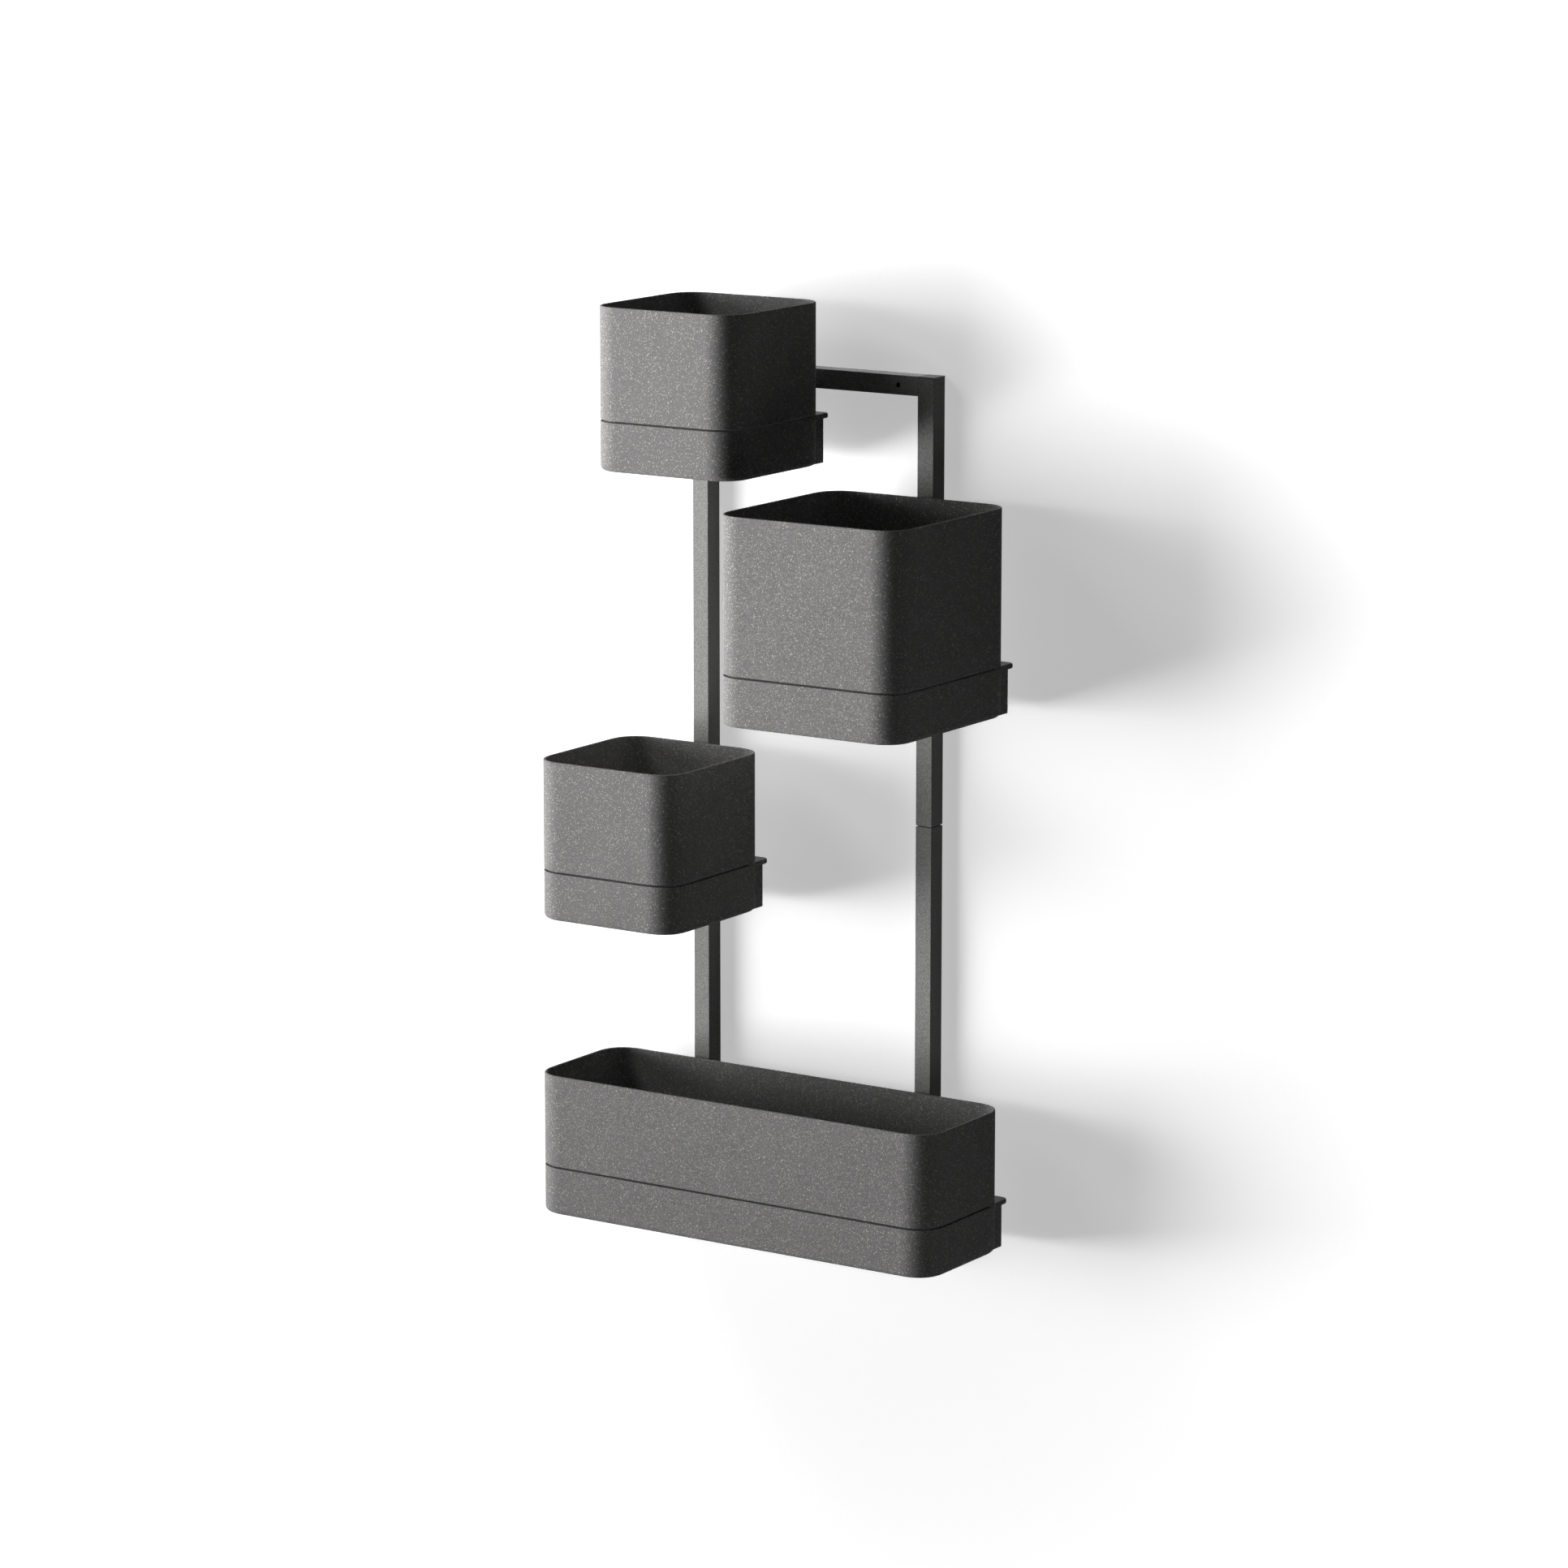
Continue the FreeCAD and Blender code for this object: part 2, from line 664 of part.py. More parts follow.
def build_hanger(label, x, z, seat_corners, inner_bends=(), outer_bends=()):
    """A bent steel plate: the tray's lip rests on its top and two tongues enter the tray's pocket."""
    body = new_body(label, x=x, y=POT_BACK, z=z)
    corners = [("stand_off", "hanger_base")] + seat_corners + [
        (PLATE_FRONT, LIP_SEAT),
        (PLATE_FRONT, ARM_TOP),
        (TONGUE_BACK, ARM_TOP),
        (TONGUE_BACK, "tongue_top"),
        (TONGUE_FRONT, "tongue_top"),
        (TONGUE_FRONT, "hanger_base"),
    ]
    profile = polygon(body, label + "_profile", "YZ_Plane", "0", corners)
    pad(body, profile, "hanger_width", symmetric=True)
    inner_bends = [(PLATE_FRONT, ARM_TOP), (TONGUE_BACK, ARM_TOP), *inner_bends]
    outer_bends = [("stand_off", "hanger_base"), (TONGUE_FRONT, "hanger_base"), *outer_bends]
    for name, radius, bends in (
        ("inner", "hanger_bend", inner_bends), ("outer", HANGER_OUTER_BEND, outer_bends)
    ):
        edges = [edge for y, z in bends for edge in edges_at(body.Tip.Shape, Y=number(y), Z=number(z))]
        dress_edges(body, "Fillet", f"{label}_{name}_bends", "Radius", radius, edges)
    gap = rectangle(
        body, label + "_gap", "tongue_top", "-tongue_gap / 2", "tongue_gap / 2", TONGUE_FRONT, PLATE_FRONT
    )
    pocket(body, gap, "tongue_top - hanger_base")
    return body


def build_post_hanger(label, x, z):
    """A hanger screwed to the front of a post. Returns its two screws."""
    body = build_hanger(label, x, z, [("stand_off", LIP_SEAT)])
    screws = []
    for name in ("hanger_screw_low", "hanger_screw_high"):
        countersunk_hole(body, f"{label}_{name}", BACKWARD, "0", PLATE_FRONT, name)
        place = (x, f"{POT_BACK} + {PLATE_FRONT}", f"{z} + {name}")
        screws.append(countersunk_screw(f"{label}_{name}_screw", BACKWARD, *place))
    return screws


def build_rail_hanger(label, x, z):
    """A hanger that reaches up behind the lip to a flange under the rail. Returns its screws."""
    rail = f"({RAIL_UNDERSIDE} - {z})"
    flange_base = f"({rail} - hanger_thickness)"
    strap_back = "(stand_off + hanger_thickness)"
    seat_back = f"{LIP_SEAT} - hanger_thickness"
    flange_back = "(stand_off + hanger_flange)"
    seat_corners = [
        ("stand_off", seat_back),
        (strap_back, seat_back),
        (strap_back, flange_base),
        (flange_back, flange_base),
        (flange_back, rail),
        ("stand_off", rail),
        ("stand_off", LIP_SEAT),
    ]
    body = build_hanger(
        label, x, z, seat_corners, [(strap_back, flange_base)], [("stand_off", rail)]
    )
    screws = []
    for side, sign in (("left", "-"), ("right", "+")):
        across = f"{sign} flange_screw_spacing / 2"
        countersunk_hole(
            body, f"{label}_{side}", UPWARD, across, "stand_off + post_depth / 2", flange_base
        )
        place = (f"{x} {across}", "-post_depth / 2", f"{RAIL_UNDERSIDE} - hanger_thickness")
        screws.append(countersunk_screw(f"{label}_{side}_screw", UPWARD, *place))
    return screws


# Frame
build_post("post_upper_left", "left", JOINT, POST_END, [])
build_post("post_upper_right", "right", JOINT, POST_END, screw_levels("medium"))
build_post("post_lower_left", "left", f"-{POST_END}", JOINT, screw_levels("lower", "long"))
build_post("post_lower_right", "right", f"-{POST_END}", JOINT, screw_levels("long"))
top_rail = build_rail("top_rail", RAIL_UNDERSIDE)
for side, sign in (("left", "-"), ("right", "+")):
    bore(
        top_rail, f"top_rail_hanger_hole_{side}", UPWARD,
        f"-top_offset {sign} flange_screw_spacing / 2", "-post_depth / 2", RAIL_UNDERSIDE,
        SCREW_HOLE, "tube_wall",
    )
build_rail("bottom_rail", f"(-{FRAME_TOP})")
build_splice("left")
build_splice("right")
build_splice_screws()
build_caps()

# Planters and their hangers
hanger_screws = []
for name, (family, x, z, hanger_places, cup_places) in PLANTERS.items():
    build_tray(name, family, x, z, hanger_places)
    build_pot(name, family, x, z, cup_places)
    for side, place in cup_places.items():
        build_cup(f"wick_cup_{name}{side}", family, f"{x} + {place}", z)
    hang = build_rail_hanger if name == "top" else build_post_hanger
    for side, place in hanger_places.items():
        hanger_screws += hang(f"hanger_{name}{side}", f"({x} + {place})", z)
group("hanger_screws", hanger_screws)

# Every object has to be sound before any file is written
doc.recompute()
for item in doc.Objects:
    if "Invalid" in item.State or "Error" in item.State:
        raise ValueError(f"{item.Label} failed: {item.State}")
for node in nodes:
    if node.Shape.isNull() or not node.Shape.isValid():
        raise ValueError(f"{node.Label} has no valid shape")

os.makedirs("parts", exist_ok=True)
for node in nodes:
    node.Shape.exportStep(f"parts/{node.Label}.step")
    print(f"{node.Label}: {len(node.Shape.Solids)} solid(s), {node.Shape.Volume / 1000:.1f} cm3")
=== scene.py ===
# %% [markdown]
# # A wall planter in flecked grey
# Four planters of two mouldings each, a pot that sits in a tray, hang on a slim steel frame that is
# screwed to a wall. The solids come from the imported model, which is loaded first and never moved.
# This lesson dresses them: it moulds the pots, trays and posts again as finer surfaces, gives every
# piece the finish of its real material, and lights and frames the whole as the photograph does.

# %% Load the frame
import json
import math

import bmesh
import bpy
import numpy as np
from mathutils import Euler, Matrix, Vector


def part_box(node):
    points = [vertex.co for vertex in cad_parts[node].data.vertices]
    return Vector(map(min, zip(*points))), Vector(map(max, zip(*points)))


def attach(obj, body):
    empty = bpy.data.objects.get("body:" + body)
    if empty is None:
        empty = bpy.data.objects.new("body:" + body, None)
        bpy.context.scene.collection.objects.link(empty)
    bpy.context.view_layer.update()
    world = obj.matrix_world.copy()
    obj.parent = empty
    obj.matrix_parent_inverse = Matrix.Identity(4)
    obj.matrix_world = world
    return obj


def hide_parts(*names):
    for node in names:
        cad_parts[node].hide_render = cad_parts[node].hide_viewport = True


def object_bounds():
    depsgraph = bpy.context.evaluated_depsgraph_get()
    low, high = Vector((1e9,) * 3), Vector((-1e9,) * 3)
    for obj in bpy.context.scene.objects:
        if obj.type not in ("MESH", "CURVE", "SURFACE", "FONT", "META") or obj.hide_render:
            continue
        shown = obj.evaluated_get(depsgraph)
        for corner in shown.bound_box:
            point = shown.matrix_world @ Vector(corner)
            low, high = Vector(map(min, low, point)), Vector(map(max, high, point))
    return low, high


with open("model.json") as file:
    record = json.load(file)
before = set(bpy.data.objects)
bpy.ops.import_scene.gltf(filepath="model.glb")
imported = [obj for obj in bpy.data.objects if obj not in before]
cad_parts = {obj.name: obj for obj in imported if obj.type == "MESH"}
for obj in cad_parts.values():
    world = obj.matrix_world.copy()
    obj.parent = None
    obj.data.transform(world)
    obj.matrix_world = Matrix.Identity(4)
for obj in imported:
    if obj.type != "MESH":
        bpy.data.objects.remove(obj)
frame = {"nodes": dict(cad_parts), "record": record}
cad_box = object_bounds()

MM = 0.001

# %% [markdown]
# ## Camera
# The photograph looks slightly down on the planter from its right. A long lens from far away could
# be guessed by eye, but the edges of the planters, posts and rails have known sizes, so the place,
# the turn and the lens here are those that put these edges where the photograph has them.

# %% Camera
CAMERA_PLACE = (3.577, -5.508, 1.321)
CAMERA_TURN = 33.4
CAMERA_PITCH = 11.12
LENS_MM = 128.8
SENSOR_MM = 36

lens = bpy.data.cameras.new("photo_lens")
lens.lens = LENS_MM
lens.sensor_width = SENSOR_MM
lens.sensor_fit = "HORIZONTAL"
camera = bpy.data.objects.new("photo_camera", lens)
camera.location = CAMERA_PLACE
camera.rotation_euler = Euler((math.radians(90 - CAMERA_PITCH), 0, math.radians(CAMERA_TURN)))
bpy.context.scene.collection.objects.link(camera)
bpy.context.scene.camera = camera
bpy.context.scene.view_settings.view_transform = "Standard"
print("camera", round(camera.location.length, 2), "m from the middle of the frame")

# %% [markdown]
# ## Outlines and profiles
# Seen from above, every moulding here is a rounded rectangle, and cut through its wall it is a thin
# profile with small rounds. Both could be drawn point by point, but a moulder's drawing gives only
# widths and radii, so two functions turn those few numbers into whole arrays of points.

# %% Rounded outlines and profiles
CORNER_POINTS = 25
ROUND_POINTS = 7
CIRCLE = 2


def rounded_rectangle(half_width, front, back, radius, middle=0.0, power=CIRCLE):
    """Points and outward normals of a rounded rectangle, counter-clockwise from above, in mm.

    Each corner is a quarter of the curve |x| ** power + |y| ** power = radius ** power: a circle when
    the power is 2, and a softer corner, which leaves the straight sides more gently, when it is larger.
    Where its normal is (cos a, sin a), its point lies from the centre along (cos a ** q, sin a ** q),
    with q = 1 / (power - 1). The straight sides join one quarter's end to the next one's start.
    """
    reach = half_width - radius
    centres = np.array([(reach, back - radius), (-reach, back - radius),
                        (-reach, front + radius), (reach, front + radius)])
    angle = (np.arange(4)[:, None] + np.linspace(0, 1, CORNER_POINTS)) * math.pi / 2
    normals = np.stack([np.cos(angle), np.sin(angle)], axis=-1)
    quarter = np.sign(normals) * np.abs(normals) ** (1 / (power - 1))
    quarter /= np.linalg.norm(quarter, ord=power, axis=-1, keepdims=True)
    points = centres[:, None] + radius * quarter + (middle, 0)
    return points.reshape(-1, 2), normals.reshape(-1, 2)


def rounded_profile(*corners):
    """Profile through corners (inset, height, radius), each replaced by an arc that touches both sides.

    Where the path turns by an angle t, the arc starts radius tan(t / 2) before the corner. Its points
    are centre + cos(s t) arm + sin(s t) radius (direction before), for s from 0 to 1.
    """
    corners = np.array(corners, float)
    points, radius = corners[:, :2], corners[1:-1, 2:]
    sides = np.diff(points, axis=0)
    sides /= np.linalg.norm(sides, axis=1, keepdims=True)
    before, after = sides[:-1], sides[1:]
    left = np.stack([-before[:, 1], before[:, 0]], axis=1)
    turn = np.arctan2((left * after).sum(1), (before * after).sum(1))[:, None]
    start = points[1:-1] - before * radius * np.tan(np.abs(turn) / 2)
    arm = -np.sign(turn) * radius * left
    angle = (np.abs(turn) * np.linspace(0, 1, ROUND_POINTS))[..., None]
    arcs = (start - arm)[:, None] + np.cos(angle) * arm[:, None]
    arcs += np.sin(angle) * (radius * before)[:, None]
    return np.concatenate([points[:1], arcs.reshape(-1, 2), points[-1:]])


print("corners of", CORNER_POINTS, "points, rounds of", ROUND_POINTS)

# %% [markdown]
# ## Carrying a profile round an outline
# A moulded wall is its profile swept round its outline. A curve with a bevel object would do that,
# but it pinches at small radii. Here a wall is a grid of two parameters: u runs round the outline
# and v along the profile, and moving a point inwards along the outline's normal keeps every corner
# concentric, as it is in the mould.

# %% Sweep a profile into a mesh
MERGE_MM = 1e-4


def swept(name, place, outline, profile, rear_step=None):
    """Closed mesh of a profile carried round an outline; place is the planter's (x, y, z) in mm.

    S(u, v) = place + (P(u) - inset(v) N(u), height(v)). Points of the rear half also move forward by
    rear_step(v), where the wall behind is thicker. Flat faces close the first and the last ring.
    """
    points, normals = outline
    inset, height = profile.T[..., None]
    grid = np.empty((len(profile), len(points), 3))
    grid[..., :2] = points - inset[..., None] * normals
    grid[..., 2] = height
    if rear_step is not None:
        grid[..., 1] -= rear_step[:, None] * (points[:, 1] > points[:, 1].mean())
    rings, columns = grid.shape[:2]
    index = np.arange(rings * columns).reshape(rings, columns)
    beside = np.roll(index, -1, axis=1)
    quads = np.stack([index[:-1], beside[:-1], beside[1:], index[1:]], axis=-1).reshape(-1, 4)
    mesh = bpy.data.meshes.new(name)
    corners = ((grid.reshape(-1, 3) + place) * MM).tolist()
    mesh.from_pydata(corners, [], quads.tolist() + [index[0, ::-1].tolist(), index[-1].tolist()])
    work = bmesh.new()
    work.from_mesh(mesh)
    bmesh.ops.remove_doubles(work, verts=work.verts, dist=MERGE_MM * MM)
    work.to_mesh(mesh)
    work.free()
    piece = bpy.data.objects.new(name, mesh)
    bpy.context.scene.collection.objects.link(piece)
    return piece


# %% [markdown]
# ## Joining and cutting mouldings
# The tray's hook rail grows out of its back, and holes go through the pots' floors. Both could be
# worked into one grid, but that would spoil its even rows. Blender's exact Boolean joins and cuts
# closed meshes cleanly, and its result is kept as plain mesh, so no helper stays in the scene.

# %% Join, cut and smooth
SHARP_DEGREES = 38


def moulded(piece, joined=(), cut=()):
    """Fuses the joined helpers to a piece, cuts the others from it, and shades its rounds smooth."""
    steps = [("UNION", helper) for helper in joined] + [("DIFFERENCE", helper) for helper in cut]
    for operation, helper in steps:
        boolean = piece.modifiers.new(operation.lower(), "BOOLEAN")
        boolean.operation = operation
        boolean.solver = "EXACT"
        boolean.object = helper
    ready = piece.evaluated_get(bpy.context.evaluated_depsgraph_get())
    mesh = bpy.data.meshes.new_from_object(ready)
    piece.modifiers.clear()
    piece.data = mesh
    for _, helper in steps:
        bpy.data.objects.remove(helper)
    mesh.shade_smooth()
    mesh.set_sharp_from_angle(angle=math.radians(SHARP_DEGREES))
    weighted = piece.modifiers.new("even_shading", "WEIGHTED_NORMAL")
    weighted.keep_sharp = True
    return piece


# %% [markdown]
# ## Where the planters are
# Each planter's place and size are those of its solids, so nothing here repeats a level or a width.
# Its own origin is the middle of its back at the underside of its tray; the front is towards -y.

# %% Read the planters from the frame
PLANTERS = [node.removeprefix("pot_") for node in frame["nodes"] if node.startswith("pot_")]


def planter_size(planter):
    """Place of a planter's origin and its half width, depth and height, in mm."""
    low, high = (np.array(corner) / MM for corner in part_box("pot_" + planter))
    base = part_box("tray_" + planter)[0].z / MM
    place = np.array([(low[0] + high[0]) / 2, high[1], base])
    return place, (high[0] - low[0]) / 2, high[1] - low[1], high[2] - base


def middles(prefix, place):
    """Middles (x, y), seen from a planter's origin in mm, of the nodes whose names start so."""
    boxes = [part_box(node) for node in sorted(frame["nodes"]) if node.startswith(prefix)]
    return [((np.array(low) + np.array(high)) / 2 / MM - place)[:2] for low, high in boxes]


for planter in PLANTERS:
    print(planter, "at", planter_size(planter)[0].round(), "height", round(planter_size(planter)[3]))

# %% [markdown]
# ## Pots
# A pot is a thin moulded wall with a rounded rim. At its foot it steps in to a spigot, a collar
# that drops into the tray, so that only a fine dark seam shows between the two. The floor has a
# seat for each wick cup and four drain holes. A solidified box would lose the step and the ledge,
# so the whole wall is one profile: up the outside, over the rim and down the inside to the floor.
# The solids' corners are arcs. In the photograph the light fades earlier and more gently round them,
# so here they are a softer curve that stays close to those arcs, within 0.4 mm.

# %% Mould the pots
CORNER_REACH = 38.6
CORNER_POWER = 2.3
WALL = 3
SPIGOT_INSET = 3.5
SPIGOT_LOW = 38
SPIGOT_ROUND = 1.5
SEAM_LEVEL = 60
SEAM_ROUND = 1.1
RIM_ROUND = 1.3
LEDGE_LEVEL = 64.1
LEDGE_ROUND = 1
FLOOR_TOP = SPIGOT_LOW + WALL
WELL_ROUND = 3
REAR_STEP = 1.3
CUP_SEAT_RADIUS = 18.3
DRAIN_RADIUS = 4
DRAIN_INSET = 52
FLOOR_MARGIN = 12


def pot_profile(height):
    """The pot's wall from under its floor, out and up to the rim, and down inside to its floor."""
    well = SPIGOT_INSET + WALL
    return rounded_profile(
        (FLOOR_MARGIN, SPIGOT_LOW, 0),
        (SPIGOT_INSET, SPIGOT_LOW, SPIGOT_ROUND),
        (SPIGOT_INSET, SEAM_LEVEL, 0),
        (0, SEAM_LEVEL, SEAM_ROUND),
        (0, height, RIM_ROUND),
        (WALL, height, RIM_ROUND),
        (WALL, LEDGE_LEVEL, LEDGE_ROUND),
        (well, LEDGE_LEVEL, LEDGE_ROUND),
        (well, FLOOR_TOP, WELL_ROUND),
        (FLOOR_MARGIN, FLOOR_TOP, 0),
    )


def floor_hole(place, middle, radius):
    """A round cutter through the pot's floor: a square whose corners are as round as it is wide."""
    outline = rounded_rectangle(radius, middle[1] - radius, middle[1] + radius, radius, middle[0])
    return swept("hole", place, outline, np.array([(0, SPIGOT_LOW - WALL), (0, FLOOR_TOP + WALL)]))


def mould_pot(planter):
    """A pot in place of its solid, with its cup seats and drains."""
    place, half_width, depth, height = planter_size(planter)
    profile = pot_profile(height)
    outline = rounded_rectangle(half_width, -depth, 0, CORNER_REACH, power=CORNER_POWER)
    rear_step = np.interp(profile[:, 0], (WALL, SPIGOT_INSET), (0, REAR_STEP))
    pot = swept("pot_wall_" + planter, place, outline, profile, rear_step)
    seats = [floor_hole(place, at, CUP_SEAT_RADIUS) for at in middles("wick_cup_" + planter, place)]
    drains = [floor_hole(place, (x, y), DRAIN_RADIUS)
              for x in (DRAIN_INSET - half_width, half_width - DRAIN_INSET)
              for y in (DRAIN_INSET - depth, -DRAIN_INSET)]
    return moulded(pot, cut=seats + drains)


pots = {planter: mould_pot(planter) for planter in PLANTERS}
for planter, pot in pots.items():
    print(pot.name, len(pot.data.polygons), "faces")

# %% [markdown]
# ## Trays
# The tray is the water reservoir under the pot. A thick rail along its back hooks over the hanger:
# a block with a slot for each hanger tongue and a notch for its arm, and a wider lip along its top
# that shows beside the tray. It is put together the way the mould is: an outer block, the rail and
# its lip joined on, then the reservoir, the slots and the notches cut out.

# %% Mould the trays
TRAY_HEIGHT = 60
SEAM_GAP = 2.2
BASE_ROUND = 6
TOP_ROUND = 0.5
RESERVOIR_ROUND = 2.5
RESERVOIR_BACK = -4.3
RAIL_LOW, RAIL_INSET, RAIL_BACK, RAIL_CORNER, RAIL_ROUND = 0.4, 7.9, 5.5, 2, 0.5
LIP_LOW, LIP_INSET, LIP_BACK, LIP_CORNER, LIP_ROUND = 54, 0.3, 8.5, 9, 1.8
ROUND_MARGIN = 0.2
SLOT_HALF, SLOT_FRONT, SLOT_CORNER = 27, -1.3, 0.3
SLOT_BACK, SLOT_TOP = 2.9, 42
NOTCH_BACK, NOTCH_TOP = 7.5, 9


def block_profile(low, high, low_round, high_round, margin):
    """Profile of a closed block: from its underside, up its side, to its top."""
    return rounded_profile((margin, low, 0), (0, low, low_round), (0, high, high_round), (margin, high, 0))


def rear_cutter(place, middle, back, top):
    """A cutter as wide as a hanger's slot, open below the tray, up to a level behind its back wall."""
    outline = rounded_rectangle(SLOT_HALF, SLOT_FRONT, back, SLOT_CORNER, middle)
    return swept("cutter", place, outline, np.array([(0, -WALL), (0, top)]))


def mould_tray(planter):
    """A tray in place of its solid, with its hook rail, reservoir, hanger slots and arm notches."""
    place, half_width, depth, _ = planter_size(planter)
    shell = swept("tray_shell_" + planter, place,
                  rounded_rectangle(half_width, -depth, 0, CORNER_REACH, power=CORNER_POWER),
                  block_profile(0, TRAY_HEIGHT - SEAM_GAP, BASE_ROUND, TOP_ROUND, FLOOR_MARGIN))
    rail = swept("rail", place,
                 rounded_rectangle(half_width - RAIL_INSET, -CORNER_REACH, RAIL_BACK, RAIL_CORNER),
                 block_profile(RAIL_LOW, LIP_LOW + LIP_ROUND, RAIL_ROUND, 0, RAIL_ROUND + ROUND_MARGIN))
    lip = swept("lip", place,
                rounded_rectangle(half_width - LIP_INSET, -CORNER_REACH, LIP_BACK, LIP_CORNER),
                block_profile(LIP_LOW, TRAY_HEIGHT, LIP_ROUND, LIP_ROUND, LIP_ROUND + ROUND_MARGIN))
    reservoir = swept("reservoir", place,
                      rounded_rectangle(half_width - WALL, WALL - depth, RESERVOIR_BACK,
                                        CORNER_REACH - WALL, power=CORNER_POWER),
                      block_profile(WALL, TRAY_HEIGHT + WALL, RESERVOIR_ROUND, 0, FLOOR_MARGIN))
    hangers = [x for x, _ in middles("hanger_" + planter, place)]
    slots = [rear_cutter(place, x, SLOT_BACK, SLOT_TOP) for x in hangers]
    notches = [rear_cutter(place, x, NOTCH_BACK, NOTCH_TOP) for x in hangers]
    return moulded(shell, joined=[rail, lip], cut=[reservoir] + slots + notches)


trays = {planter: mould_tray(planter) for planter in PLANTERS}
for planter, tray in trays.items():
    print(tray.name, len(tray.data.polygons), "faces")

# %% [markdown]
# ## Posts
# Each post is two tubes that meet end to end at its middle, where the photograph has a fine dark line
# with a pale edge below it. The solids meet in a chamfer that the light hardly finds, so here the
# tubes' ends are eased and stop a little short of each other, with a narrower core across the gap.

# %% Ease the ends of the posts
POSTS = [node for node in frame["nodes"] if node.startswith(("post_upper", "post_lower"))]
POST_CORNER = 0.8
JOINT_ROUND = 0.7
JOINT_GAP = 1.4
CORE_INSET = 1.7
CORE_CORNER = 0.5
CORE_OVERLAP = 5


def mould_post(node):
    """A post's tube in place of its solid, closed at its ends, with a core across its half of the gap."""
    (left, front, base), (right, back, top) = (np.array(corner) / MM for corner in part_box(node))
    place, half_width = ((left + right) / 2, 0, 0), (right - left) / 2
    joint, end = sorted((base, top), key=abs)
    ease = math.copysign(JOINT_GAP / 2, end)
    low, high = sorted((joint + ease, end))
    tube = swept(node.replace("post_", "post_tube_"), place,
                 rounded_rectangle(half_width, front, back, POST_CORNER),
                 block_profile(low, high, JOINT_ROUND, JOINT_ROUND, POST_CORNER))
    low, high = sorted((joint, joint + CORE_OVERLAP * ease))
    core = swept("core", place,
                 rounded_rectangle(half_width - CORE_INSET, front + CORE_INSET, back - CORE_INSET,
                                   CORE_CORNER),
                 np.array([(0, low), (0, high)]))
    return moulded(tube, joined=[core])


posts = {node: mould_post(node) for node in POSTS}
for post in posts.values():
    print(post.name, len(post.data.polygons), "faces")

# %% [markdown]
# ## Riding on the bodies
# Each new moulding stands for a solid: it moves with that solid's body and hides the plain solid.
# It is given the same finish as that solid further on.

# %% Put the mouldings on their bodies
for planter in PLANTERS:
    for piece, node in ((pots[planter], "pot_" + planter), (trays[planter], "tray_" + planter)):
        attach(piece, node)
        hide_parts(node)
for node, post in posts.items():
    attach(post, "frame")
    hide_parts(node)
print("pieces riding:", 2 * len(PLANTERS) + len(posts))

# %% [markdown]
# ## Finishes
# Every finish below starts from a Principled shader and adds the pattern that the real process
# leaves. Colours are written as they look on a screen, so one function turns them to the linear
# values that the shader works with, and one function adds a node with its settings and links.

# %% Colour and node helpers
MIX_A, MIX_B, MIX_RESULT = 6, 7, 2
NOISE_LOW, NOISE_HIGH = 0.3, 0.7


def linear(colour):
    """A screen colour such as #8a8a88 as linear RGBA: c / 12.92, or ((c + 0.055) / 1.055) ** 2.4."""
    screen = np.array([int(colour[i:i + 2], 16) for i in (1, 3, 5)]) / 255
    low, high = screen / 12.92, ((screen + 0.055) / 1.055) ** 2.4
    return (*np.where(screen <= 0.04045, low, high), 1.0)


def add(tree, kind, inputs=None, **settings):
    """Adds one node: settings are its own properties, and each input takes a value or an output."""
    node = tree.nodes.new("ShaderNode" + kind)
    for name, value in settings.items():
        setattr(node, name, value)
    for socket, value in (inputs or {}).items():
        if isinstance(value, bpy.types.NodeSocket):
            tree.links.new(value, node.inputs[socket])
        else:
            node.inputs[socket].default_value = value
    return node


def new_finish(name, **sockets):
    """An empty material with a Principled shader, whose uniform values are set on its own sockets."""
    finish = bpy.data.materials.new(name)
    finish.use_nodes = True
    shader = finish.node_tree.nodes["Principled BSDF"]
    for socket, value in sockets.items():
        shader.inputs[socket.replace("_", " ")].default_value = value
    coordinates = add(finish.node_tree, "TexCoord").outputs["Object"]
    return finish, finish.node_tree, shader, coordinates


def per_mm(size):
    """Texture scale, in cells to the metre, of a pattern whose cells are this many mm wide."""
    return 1 / (size * MM)


def noise(tree, coordinates, size, **inputs):
    """A noise whose cells are this many mm wide, with two octaves unless its inputs say otherwise."""
    return add(tree, "TexNoise", {"Vector": coordinates, "Scale": per_mm(size), "Detail": 2.0, **inputs})


def stretched(tree, pattern):
    """A noise's values, most of which lie about its middle, spread over 0 to 1."""
    spread = {"Value": pattern.outputs[0], "From Min": NOISE_LOW, "From Max": NOISE_HIGH}
    return add(tree, "MapRange", spread).outputs[0]


def raised(tree, shader, pattern, strength, depth):
    """Bumps the shader's surface by a noise, whose height is a depth in mm."""
    bump = add(tree, "Bump", {"Height": pattern.outputs[0], "Strength": strength, "Distance": depth * MM})
    tree.links.new(bump.outputs[0], shader.inputs["Normal"])


def blend(tree, factor, first, second):
    """A colour that runs from the first to the second, each a colour or an output, with the factor."""
    mixed = add(tree, "Mix", {0: factor, MIX_A: first, MIX_B: second}, data_type="RGBA")
    return mixed.outputs[MIX_RESULT]


print("grey", [round(value, 3) for value in linear("#8a8a88")])

# %% [markdown]
# ## Flecked moulding
# The pots and trays are moulded from a grey resin with a filler of light mineral chips, which lie
# in the skin as small flecks of several sizes. An image could carry them, but chips in a solid are
# a solid pattern: points scattered in space, each with a chip about it, cut by the surface wherever
# it happens to run. So the flecks are Voronoi cells in three dimensions, one layer for each size.

